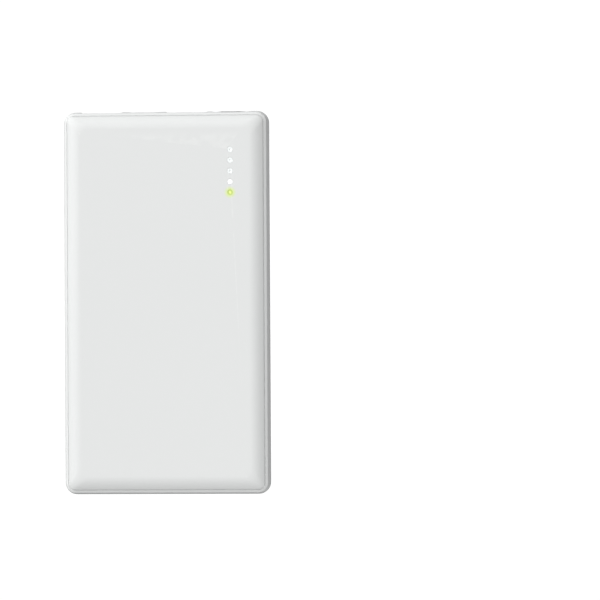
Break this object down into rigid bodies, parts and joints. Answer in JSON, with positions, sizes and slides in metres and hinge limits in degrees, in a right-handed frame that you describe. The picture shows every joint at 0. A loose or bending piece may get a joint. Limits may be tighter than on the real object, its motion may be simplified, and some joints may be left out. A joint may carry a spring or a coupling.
{
  "type": "power bank",
  "caption": "Slim white power bank with a soft rolled cover edge, a groove between its two shells and a column of status lights; sockets and a push button in one end.",
  "frame": {"origin": "middle of the flat underside", "axes": "+X across the width towards the status lights, +Y along the length towards the end with the sockets, +Z out of the cover"},
  "size_m": [0.07, 0.13, 0.014],
  "materials": {
    "case_plastic": "white satin moulding, low gloss",
    "cover_plastic": "white satin moulding, soft sheen on the rolled edge",
    "button_plastic": "white satin moulding",
    "pipe_unlit": "milky translucent moulding, unlit",
    "pipe_white": "milky translucent moulding, lit white",
    "pipe_green": "milky translucent moulding, lit yellow-green",
    "black_plastic": "matt black moulding",
    "switch_black": "matt black moulding",
    "switch_white": "matt white moulding",
    "circuit_board": "green solder mask over copper tracks",
    "insulation_film": "pale fish paper",
    "socket_steel": "plated drawn sheet, satin",
    "tongue_white": "white insulator",
    "tongue_black": "black insulator",
    "ferrite": "matt grey ferrite",
    "chip_black": "matt moulded package",
    "can_metal": "satin drawn can",
    "capacitor_ceramic": "tan ceramic",
    "led_body": "pale yellow phosphor",
    "screw_steel": "nickel plated",
    "pouch_foil": "laminated foil, satin",
    "adhesive_tape": "double-sided tissue tape",
    "foam": "fine closed-cell foam",
    "nickel_strip": "nickel strip",
    "red_lead": "red silicone insulation",
    "black_lead": "black silicone insulation"
  },
  "bodies": {
    "case": {"bottom_case": "case_plastic", "top_cover": "cover_plastic", "light_shield": "black_plastic", "switch_body": "switch_black", "main_board": "circuit_board", "insulation_sheet": "insulation_film", "usb_a_shell_1": "socket_steel", "usb_a_shell_2": "socket_steel", "usb_c_shell": "socket_steel", "usb_a_tongue_1": "tongue_white", "usb_a_tongue_2": "tongue_white", "usb_c_tongue": "tongue_black", "power_inductor": "ferrite", "controller_chip": "chip_black", "charger_chip": "chip_black", "power_transistor_1": "chip_black", "power_transistor_2": "chip_black", "cell_board_chip": "chip_black", "can_capacitor_1": "can_metal", "can_capacitor_2": "can_metal", "battery_cell_lower": "pouch_foil", "battery_cell_upper": "pouch_foil", "cell_tape": "adhesive_tape", "cell_adhesive": "adhesive_tape", "foam_pad": "foam", "cell_board": "circuit_board", "tab_positive": "nickel_strip", "tab_negative": "nickel_strip", "lead_positive": "red_lead", "lead_negative": "black_lead", "indicator_led_1": "led_body", "light_pipe_1": "pipe_unlit", "indicator_led_2": "led_body", "light_pipe_2": "pipe_unlit", "indicator_led_3": "led_body", "light_pipe_3": "pipe_unlit", "indicator_led_4": "led_body", "light_pipe_4": "pipe_white", "indicator_led_5": "led_body", "light_pipe_5": "pipe_green", "chip_capacitor_1": "capacitor_ceramic", "board_screw_1": "screw_steel", "chip_capacitor_2": "capacitor_ceramic", "board_screw_2": "screw_steel", "chip_capacitor_3": "capacitor_ceramic", "board_screw_3": "screw_steel", "chip_capacitor_4": "capacitor_ceramic", "board_screw_4": "screw_steel"},
    "button": {"power_button": "button_plastic"},
    "plunger": {"switch_plunger": "switch_white"}
  },
  "joints": [
    {"name": "button_press", "type": "slide", "parent": "case", "child": "button", "axis": [0, -1, 0], "range_m": [0, 0.00035], "stiffness_N_per_m": 4000},
    {"name": "plunger_press", "type": "slide", "parent": "case", "child": "plunger", "axis": [0, -1, 0], "range_m": [0, 0.0004]}
  ],
  "couplings": [
    {"joint": "plunger_press", "follows": "button_press", "ratio": 1}
  ]
}
